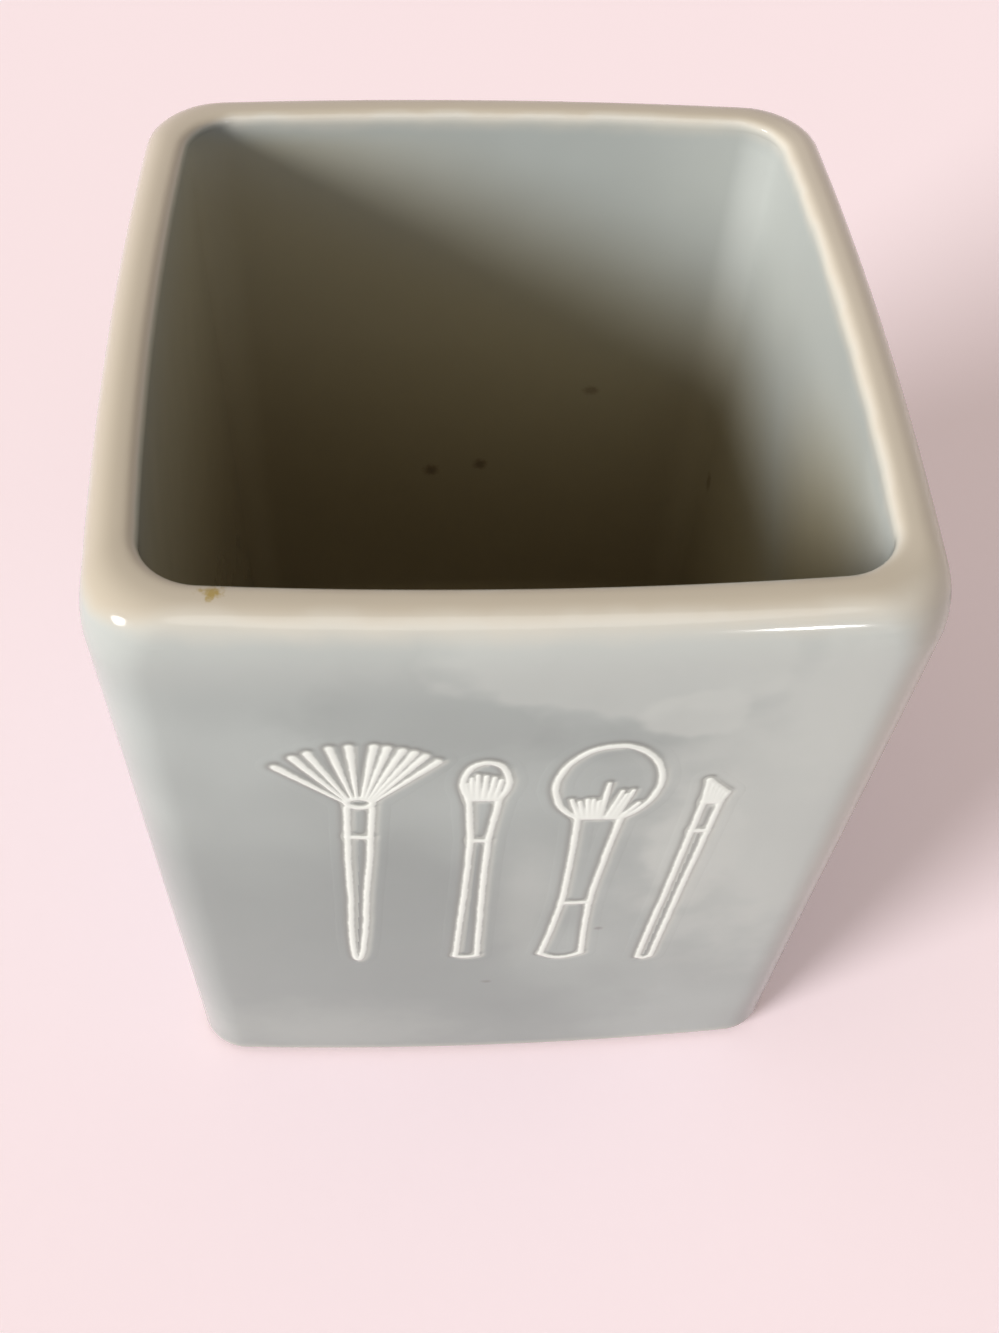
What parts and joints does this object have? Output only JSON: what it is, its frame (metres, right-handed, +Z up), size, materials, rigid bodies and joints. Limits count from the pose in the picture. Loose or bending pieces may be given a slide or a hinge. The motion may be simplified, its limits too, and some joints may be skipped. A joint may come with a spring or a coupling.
{
  "type": "makeup brush holder",
  "caption": "Square glazed ceramic pot with a rounded lip, an open well for makeup brushes and a row of brushes drawn in raised lines on its front.",
  "frame": {"origin": "centre of the footprint, on the plane that the foot rests on", "axes": "+Z up out of the well; the face with the drawings looks along -Y; +X to the right as the drawings are seen"},
  "size_m": [0.085, 0.0857, 0.1013],
  "materials": {
    "stoneware": "matte",
    "grey_glaze": "gloss",
    "white_line_glaze": "gloss"
  },
  "bodies": {
    "root": {"stoneware_body": "stoneware", "glaze_coat": "grey_glaze", "fan_brush_relief": "white_line_glaze", "eyeshadow_brush_relief": "white_line_glaze", "powder_brush_relief": "white_line_glaze", "angled_brush_relief": "white_line_glaze"}
  },
  "joints": []
}
